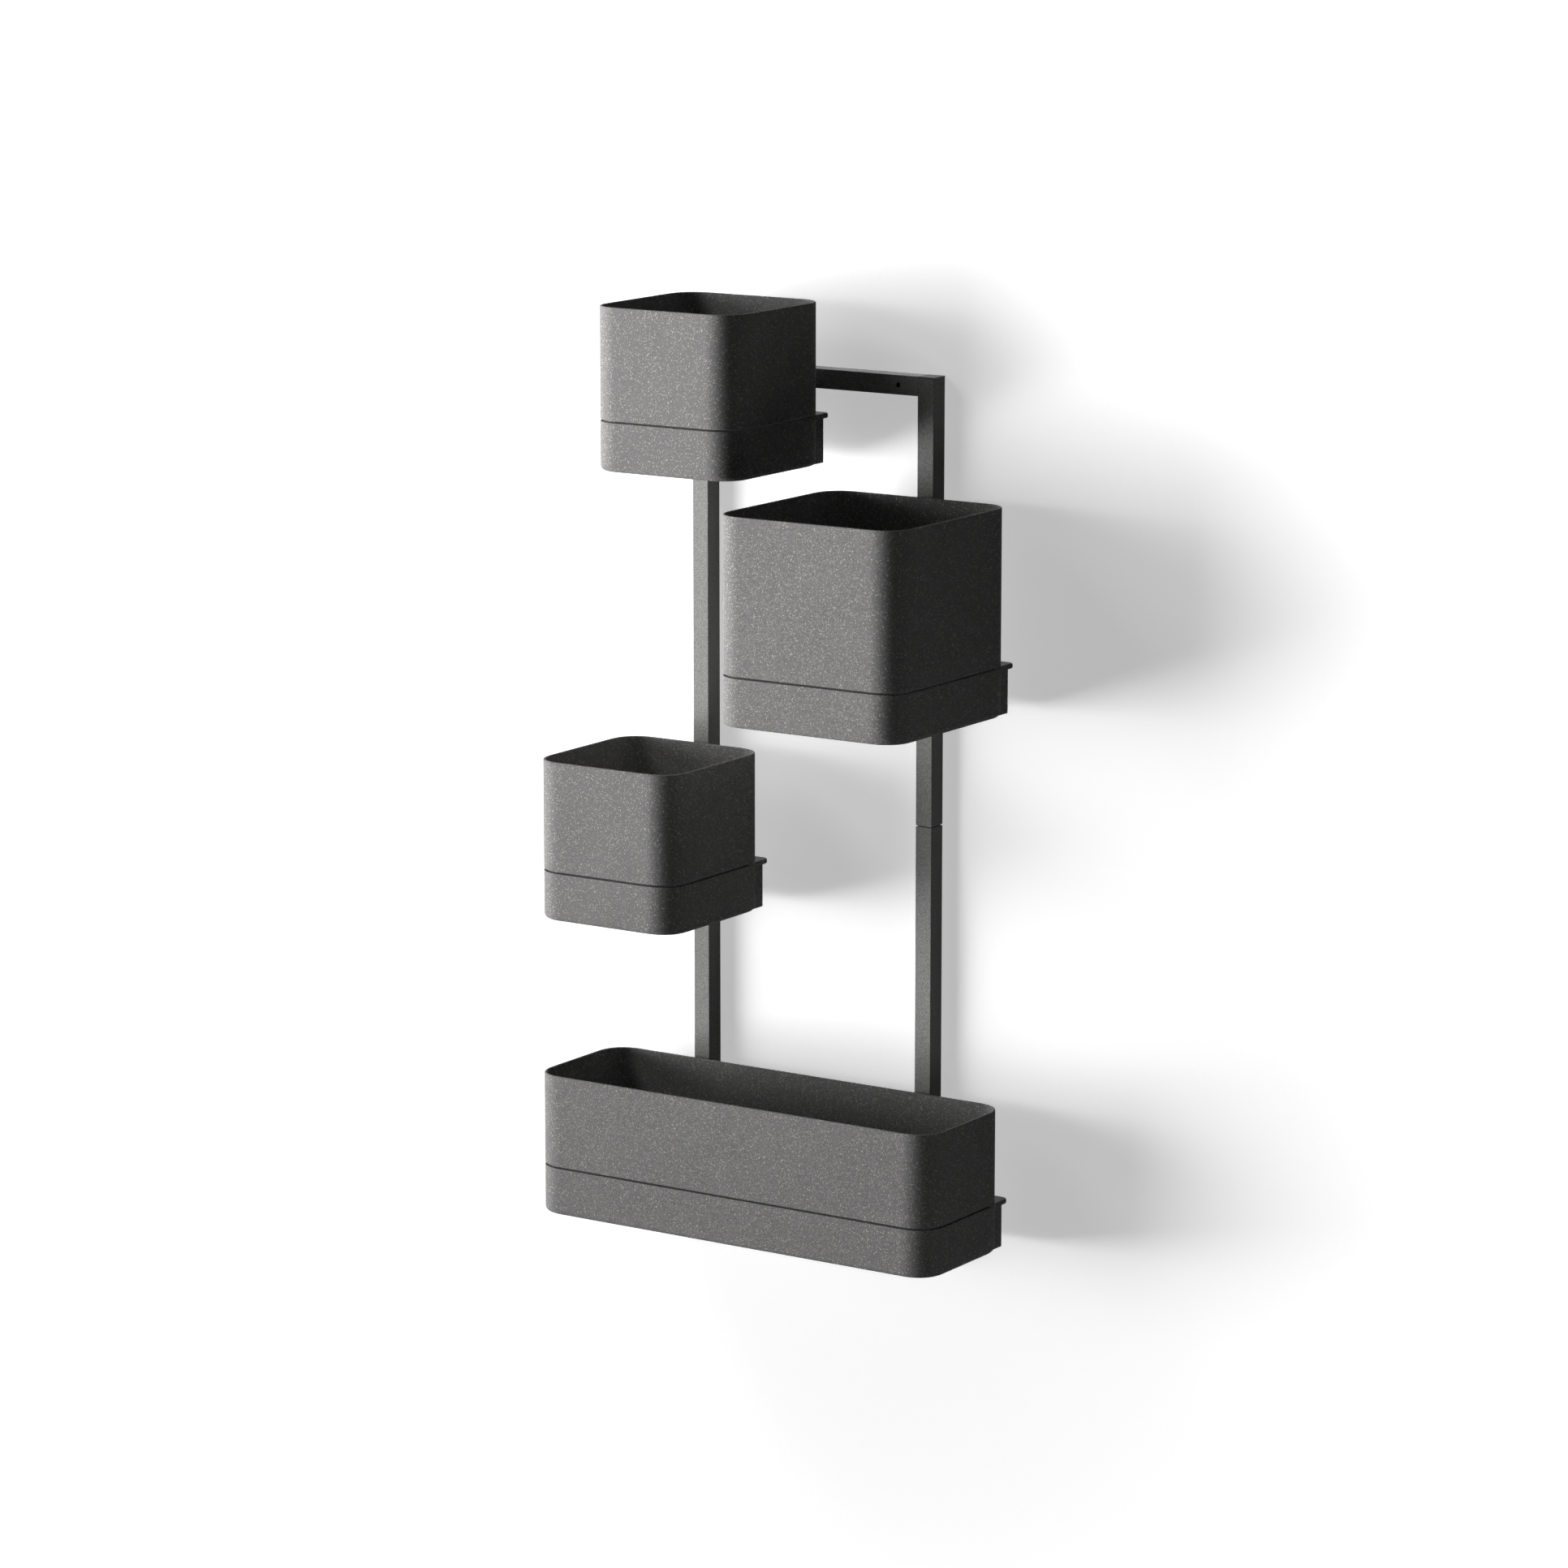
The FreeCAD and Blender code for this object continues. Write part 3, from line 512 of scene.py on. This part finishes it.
# %% Moulded flecked resin
# Base: a dull mid grey with a fine grain, rough enough that only the rims and edges catch light.
RESIN_GREY = "#979696"
RESIN_DARK = "#6f6e6e"
FLECK_PALE = "#d0cdca"
FLECK_WARM = "#bdb6b3"
# Each size of fleck: spacing of the chips and their width in mm, the share of cells that hold one,
# how much longer than wide they are, and the turn of the layer in degrees.
FLECK_SIZES = (
    (2.2, 0.92, 0.75, 2.1, 20),
    (2.1, 0.92, 0.75, 2.1, 65),
    (1.9, 0.85, 0.75, 1.8, 110),
    (3.4, 1.3, 0.7, 1.9, 155),
)
# The smallest and the largest flecks of a size and their soft edge, as shares of its half width.
FLECK_LEAST, FLECK_MOST, FLECK_SOFT = 0.6, 1.35, 0.3
GRAIN_MM, CLOUD_MM, WARP_MM = 1.5, 45, 1.6
CLOUD_SHARE = 0.25


def fleck_layer(tree, coordinates, spacing, width, share, length, turn):
    """Mask of one size of fleck, and a random value per fleck.

    A cell holds a fleck where its random value is below the share; the fleck's edge is where the
    distance to the cell's point passes half its width.
    """
    mapped = add(tree, "Mapping", {
        "Vector": coordinates,
        "Rotation": (math.radians(turn), math.radians(2 * turn), math.radians(3 * turn)),
        "Scale": (spacing * MM, spacing * MM, spacing * length * MM),
    }, vector_type="TEXTURE")
    cells = add(tree, "TexVoronoi", {"Vector": mapped.outputs[0], "Scale": 1.0})
    dice = add(tree, "SeparateColor", {"Color": cells.outputs["Color"]})
    edge = width / spacing / 2
    size = add(tree, "MapRange", {
        "Value": dice.outputs["Red"], "To Min": FLECK_LEAST * edge, "To Max": FLECK_MOST * edge,
    })
    inside = add(tree, "Math", {0: size.outputs[0], 1: cells.outputs["Distance"]}, operation="SUBTRACT")
    soft = add(tree, "MapRange", {
        "Value": inside.outputs[0], "From Min": 0.0, "From Max": FLECK_SOFT * edge,
    }, interpolation_type="SMOOTHSTEP")
    held = add(tree, "Math", {0: dice.outputs["Green"], 1: share}, operation="LESS_THAN")
    mask = add(tree, "Math", {0: soft.outputs[0], 1: held.outputs[0]}, operation="MULTIPLY")
    return mask.outputs[0], dice.outputs["Blue"]


def flecked_resin():
    """The finish of the pots and trays."""
    finish, tree, shader, coordinates = new_finish(
        "moulded flecked resin", Roughness=0.8, Specular_IOR_Level=0.06)
    grain = noise(tree, coordinates, GRAIN_MM, Roughness=0.6)
    cloud = noise(tree, coordinates, CLOUD_MM)
    shade = add(tree, "Mix", {0: CLOUD_SHARE, 2: stretched(tree, grain), 3: cloud.outputs[0]})
    colour = blend(tree, shade.outputs[0], linear(RESIN_DARK), linear(RESIN_GREY))
    warp = noise(tree, coordinates, WARP_MM, Detail=1.0)
    centred = add(tree, "VectorMath", {0: warp.outputs["Color"], 1: (0.5, 0.5, 0.5)}, operation="SUBTRACT")
    offset = add(tree, "VectorMath", {0: centred.outputs[0], "Scale": WARP_MM * MM}, operation="SCALE")
    warped = add(tree, "VectorMath", {0: coordinates, 1: offset.outputs[0]}, operation="ADD").outputs[0]
    for layer in FLECK_SIZES:
        mask, dice = fleck_layer(tree, warped, *layer)
        tint = blend(tree, dice, linear(FLECK_WARM), linear(FLECK_PALE))
        colour = blend(tree, mask, colour, tint)
    tree.links.new(colour, shader.inputs["Base Color"])
    raised(tree, shader, grain, strength=0.25, depth=0.15)
    return finish


resin = flecked_resin()
for piece in (*pots.values(), *trays.values()):
    piece.data.materials.clear()
    piece.data.materials.append(resin)
print(resin.name, "on", len(pots) + len(trays), "mouldings")

# %% [markdown]
# ## Powder-coated steel
# The posts and rails are square steel tube, powder coated in a plain grey. Powder is sprayed dry and
# melted on, which leaves a fine orange-peel skin and a faint mottle. Noise at the size of the melted
# grains gives both, as colour and as bump.

# %% Powder-coated posts and rails
# Frame: a mid grey that mottles paler. Hangers: near black, so they stay out of sight behind the trays.
COAT_GREY, COAT_PALE = "#757574", "#adadac"
HANGER_DARK, HANGER_PALE = "#3c3d3e", "#47484a"
PEEL_MM = 1.3


def powder_coat(name, dark, pale, roughness):
    """A matt powder coat: mottled between two greys, with an orange-peel bump."""
    finish, tree, shader, coordinates = new_finish(name, Roughness=roughness, Specular_IOR_Level=0.1)
    peel = noise(tree, coordinates, PEEL_MM, Roughness=0.55)
    colour = blend(tree, stretched(tree, peel), linear(dark), linear(pale))
    tree.links.new(colour, shader.inputs["Base Color"])
    raised(tree, shader, peel, strength=0.2, depth=0.1)
    return finish


frame_coat = powder_coat("powder-coated frame steel", COAT_GREY, COAT_PALE, roughness=0.55)
hanger_coat = powder_coat("powder-coated hanger sheet", HANGER_DARK, HANGER_PALE, roughness=0.5)
for post in posts.values():
    post.data.materials.append(frame_coat)
print(frame_coat.name, "and", hanger_coat.name)

# %% [markdown]
# ## Zinc, aluminium and plastic
# The small parts behind the planters have the finishes such parts are bought with: bright zinc on
# the screws, bare extruded aluminium on the splices that join the posts, and dark moulded plastic on
# the end caps and the wick cups. Each is a few nodes: streaks along the extrusion, blotches of
# zinc, and a fine spark-eroded grain on the plastic.

# %% Small metal parts
# Zinc: a cool pale grey that is blotched. Aluminium: a little warmer, with streaks along its length.
ZINC_PALE, ZINC_DULL = "#c9cbcc", "#a9adb0"
ALUMINIUM_PALE, ALUMINIUM_DULL = "#cfd0d0", "#b4b6b7"
BLOTCH_MM = (2, 2, 2)
STREAK_MM = (0.8, 0.8, 40)


def bare_metal(name, pale, dull, cell, roughness):
    """A plain metal skin: two tones and a roughness that follow one noise of the given cell in mm."""
    finish, tree, shader, coordinates = new_finish(name, Metallic=1.0)
    mapped = add(tree, "Mapping", {"Vector": coordinates, "Scale": tuple(per_mm(size) for size in cell)})
    skin = add(tree, "TexNoise", {"Vector": mapped.outputs[0], "Scale": 1.0, "Detail": 3.0})
    colour = blend(tree, skin.outputs[0], linear(dull), linear(pale))
    tree.links.new(colour, shader.inputs["Base Color"])
    rough = add(tree, "MapRange", {"Value": skin.outputs[0], "To Min": roughness[0], "To Max": roughness[1]})
    tree.links.new(rough.outputs[0], shader.inputs["Roughness"])
    return finish


zinc = bare_metal("zinc-plated steel", ZINC_PALE, ZINC_DULL, BLOTCH_MM, roughness=(0.28, 0.48))
aluminium = bare_metal("extruded aluminium", ALUMINIUM_PALE, ALUMINIUM_DULL, STREAK_MM,
                       roughness=(0.3, 0.5))
print(zinc.name, "and", aluminium.name)

# %% Moulded plastic parts
# Three near blacks: the caps drink the light, the cups have a faint satin sheen, and the third is painted
# shade for the pots below their seams; the caps' black also paints the shade in the posts' joints.
CAP_DARK, CAP_PALE = "#232324", "#2e2e2f"
CUP_DARK, CUP_PALE = "#38393a", "#454647"
SEAM_SHADE_DARK, SEAM_SHADE_PALE = "#1b1b1b", "#242424"
PLASTIC_GRAIN_MM = 0.7


def moulded_plastic(name, dark, pale, roughness):
    """A dark moulded plastic with the fine grain of a spark-eroded mould."""
    finish, tree, shader, coordinates = new_finish(name, Roughness=roughness)
    grain = noise(tree, coordinates, PLASTIC_GRAIN_MM)
    colour = blend(tree, grain.outputs[0], linear(dark), linear(pale))
    tree.links.new(colour, shader.inputs["Base Color"])
    raised(tree, shader, grain, strength=0.3, depth=0.08)
    return finish


cap_plastic = moulded_plastic("moulded polyethylene", CAP_DARK, CAP_PALE, roughness=0.5)
cup_plastic = moulded_plastic("moulded polypropylene", CUP_DARK, CUP_PALE, roughness=0.42)
# The third is no resin of its own: it is painted shade for the pots' walls below their seams.
seam_shade_resin = moulded_plastic("painted seam shade", SEAM_SHADE_DARK, SEAM_SHADE_PALE, roughness=0.6)
print(cap_plastic.name, cup_plastic.name, seam_shade_resin.name)

# %% [markdown]
# ## Painted shade in seams and joints
# Below the seam a pot goes on as a well. Its faces there are painted near black for the shade that fills
# the gap above the tray, so the gap reads as a black line all round, and the faces in a post's joint get
# the same painted shade. Each could be a piece of its own, but it is the same wall, so it is only a second
# material on the faces that lie at those levels.

# %% Painted shade by level
def finish_between(piece, finish, low, high):
    """Gives a second finish to the faces whose middles lie between two levels, in mm."""
    middle = np.empty(3 * len(piece.data.polygons))
    piece.data.polygons.foreach_get("center", middle)
    level = middle[2::3] / MM
    chosen = (level > low - MERGE_MM) & (level < high + MERGE_MM)
    piece.data.materials.append(finish)
    piece.data.polygons.foreach_set("material_index", chosen.astype(np.int32))
    print(piece.name, chosen.sum(), "faces in", finish.name)


# Painted shade: each pot's faces below its seam are near black, for the shade in the gap above its tray.
for planter, pot in pots.items():
    base = planter_size(planter)[0][2]
    finish_between(pot, seam_shade_resin, base, base + SEAM_LEVEL)
# Painted shade: the faces in the gap of each post's joint take the near-black cap plastic, for the shade in
# that gap.
for node, post in posts.items():
    joint = min((corner.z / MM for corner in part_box(node)), key=abs)
    finish_between(post, cap_plastic, joint - JOINT_GAP / 2, joint + JOINT_GAP / 2)

# %% [markdown]
# ## Finishes on the solids that stay
# Rails, hangers and the small parts keep their solids. Each takes the finish whose name the record
# gives its slot, so a node and its finish can't drift apart. The hidden solids take theirs too.

# %% Dress the solids
FINISHES = {
    "flecked_composite": resin,
    "frame_steel": frame_coat,
    "hanger_steel": hanger_coat,
    "screw_steel": zinc,
    "splice_aluminium": aluminium,
    "cap_plastic": cap_plastic,
    "cup_plastic": cup_plastic,
}
for subpart in frame["record"]["subparts"]:
    for slot in frame["nodes"][subpart["node"]].material_slots:
        slot.material = FINISHES[subpart["material_slot"]]

# %% [markdown]
# ## Wall and floor
# The planter hangs on a white wall, and the wall's soft shadows are half of the picture. The wall is
# a plain sheet just behind the frame. To the camera it adds a little light of its own, so that it is
# white where the lamp reaches it and pale grey in the shadows. From behind it can't be seen, so the
# back of the frame can be looked at.

# %% Wall and floor
WALL_GAP = 0.5 * MM
FLOOR_LEVEL = -1.35
STAGE_HALF = 4.0
WALL_WHITE = "#f4f4f4"
FLOOR_WHITE = "#dededc"
STAGE_BOUNCE = "#404040"
# Glow: painted light, more of it far from the middle, where the lamp is weaker.
WALL_GLOW, FLOOR_GLOW = (0.45, 0.8), (0.48, 0.65)
GLOW_NEAR, GLOW_FAR = 0.5, 1.4


def seen_rays(tree):
    """An output that is 1 for the rays that look at a thing and 0 for those that only light others."""
    path = add(tree, "LightPath")
    seen = path.outputs["Is Camera Ray"]
    for kind in ("Is Glossy Ray", "Is Transmission Ray"):
        seen = add(tree, "Math", {0: seen, 1: path.outputs[kind]}, operation="MAXIMUM").outputs[0]
    return seen


def stage_paint(name, colour, bounce, glow):
    """Matt paint with a glow for the rays that look at it, and a dim bounce for the rest.

    Camera, glossy and transmission rays see its colour and the glow, which grows from its first to
    its second value between two distances from the middle: painted light that keeps the paint white
    far out, where the lamp is weaker. Other rays see the bounce, so that the paint hardly lights the
    planter. From behind it can't be seen.
    """
    paint, tree, shader, coordinates = new_finish(name, Roughness=0.9, Specular_IOR_Level=0.0)
    seen = seen_rays(tree)
    tree.links.new(blend(tree, seen, linear(bounce), linear(colour)), shader.inputs["Base Color"])
    away = add(tree, "VectorMath", {0: coordinates}, operation="LENGTH")
    grown = add(tree, "MapRange", {
        "Value": away.outputs["Value"], "From Min": GLOW_NEAR, "From Max": GLOW_FAR,
        "To Min": glow[0], "To Max": glow[1],
    }, interpolation_type="SMOOTHSTEP")
    strength = add(tree, "Math", {0: seen, 1: grown.outputs[0]}, operation="MULTIPLY")
    light = add(tree, "Emission", {"Color": (1, 1, 1, 1), "Strength": strength.outputs[0]})
    lit = add(tree, "AddShader", {0: shader.outputs[0], 1: light.outputs[0]})
    behind = add(tree, "NewGeometry").outputs["Backfacing"]
    clear = add(tree, "BsdfTransparent")
    side = add(tree, "MixShader", {0: behind, 1: lit.outputs[0], 2: clear.outputs[0]})
    tree.links.new(side.outputs[0], tree.nodes["Material Output"].inputs["Surface"])
    return paint


def sheet(name, corners, paint):
    """A flat stage sheet through four corners, whose front is the side they run counter-clockwise on."""
    mesh = bpy.data.meshes.new(name)
    mesh.from_pydata(corners, [], [(0, 1, 2, 3)])
    mesh.materials.append(paint)
    board = bpy.data.objects.new(name, mesh)
    bpy.context.scene.collection.objects.link(board)
    return board


left, right, low, high = -STAGE_HALF, STAGE_HALF, FLOOR_LEVEL, STAGE_HALF
front, back = -2 * STAGE_HALF, cad_box[1].y + WALL_GAP
wall = sheet("wall", [(left, back, low), (right, back, low), (right, back, high), (left, back, high)],
             stage_paint("white wall paint", WALL_WHITE, STAGE_BOUNCE, WALL_GLOW))
wall.visible_shadow = False
floor = sheet("floor", [(left, front, low), (right, front, low), (right, back, low), (left, back, low)],
              stage_paint("pale floor paint", FLOOR_WHITE, STAGE_BOUNCE, FLOOR_GLOW))
print("wall at y", round(back, 4), "floor at z", low)

# %% [markdown]
# ## Light
# The photograph has one very large soft light from the left, a little in front, and almost no fill,
# so the sides that face the camera are near black and soft shadows run to the right. One square
# softbox with a grid gives that, with a small one above it for the rims and a weak fill from the
# right, low down, where the photograph's sides are least dark. A lamp behind the wall, which casts
# no shadow, lights the back for the other views, and the sky is white to the eye but dim as a light.

# %% Softboxes and sky
KEY_PLACE, KEY_AIM, KEY_SIZE, KEY_WATTS = (-4.3, -2.05, 0.3), (-0.5, 0, 1.5), 5.0, 236
KEY_GRID_DEGREES = 70
TOP_PLACE, TOP_AIM, TOP_SIZE, TOP_WATTS = (-2.2, -1.2, 2.3), (0, 0, 0.6), 1.2, 25
REAR_PLACE, REAR_AIM, REAR_SIZE, REAR_WATTS = (-1.6, 3.2, 1.6), (0, 0, 0), 1.6, 60
FILL_PLACE, FILL_AIM, FILL_SIZE, FILL_WATTS = (2.4, -1.3, -1.0), (0.28, -0.12, -0.4), 1.0, 4.4
SKY_FILL = 0.012


def softbox(name, place, aim, size, watts):
    """A square area lamp at a place, turned towards its aim."""
    lamp = bpy.data.lights.new(name, "AREA")
    lamp.size = size
    lamp.energy = watts
    light = bpy.data.objects.new(name, lamp)
    light.location = place
    light.rotation_euler = (Vector(aim) - Vector(place)).to_track_quat("-Z", "Y").to_euler()
    bpy.context.scene.collection.objects.link(light)
    return light


softbox("key_softbox", KEY_PLACE, KEY_AIM, KEY_SIZE, KEY_WATTS).data.spread = math.radians(KEY_GRID_DEGREES)
softbox("top_softbox", TOP_PLACE, TOP_AIM, TOP_SIZE, TOP_WATTS)
softbox("rear_softbox", REAR_PLACE, REAR_AIM, REAR_SIZE, REAR_WATTS)
softbox("fill_softbox", FILL_PLACE, FILL_AIM, FILL_SIZE, FILL_WATTS)

sky = bpy.data.worlds.new("white_studio")
sky.use_nodes = True
bpy.context.scene.world = sky
strength = add(sky.node_tree, "MapRange", {
    "Value": seen_rays(sky.node_tree), "To Min": SKY_FILL, "To Max": 1.0,
})
background = sky.node_tree.nodes["Background"]
background.inputs["Color"].default_value = (1, 1, 1, 1)
sky.node_tree.links.new(strength.outputs[0], background.inputs["Strength"])
print("key", KEY_WATTS, "W, sky", SKY_FILL)
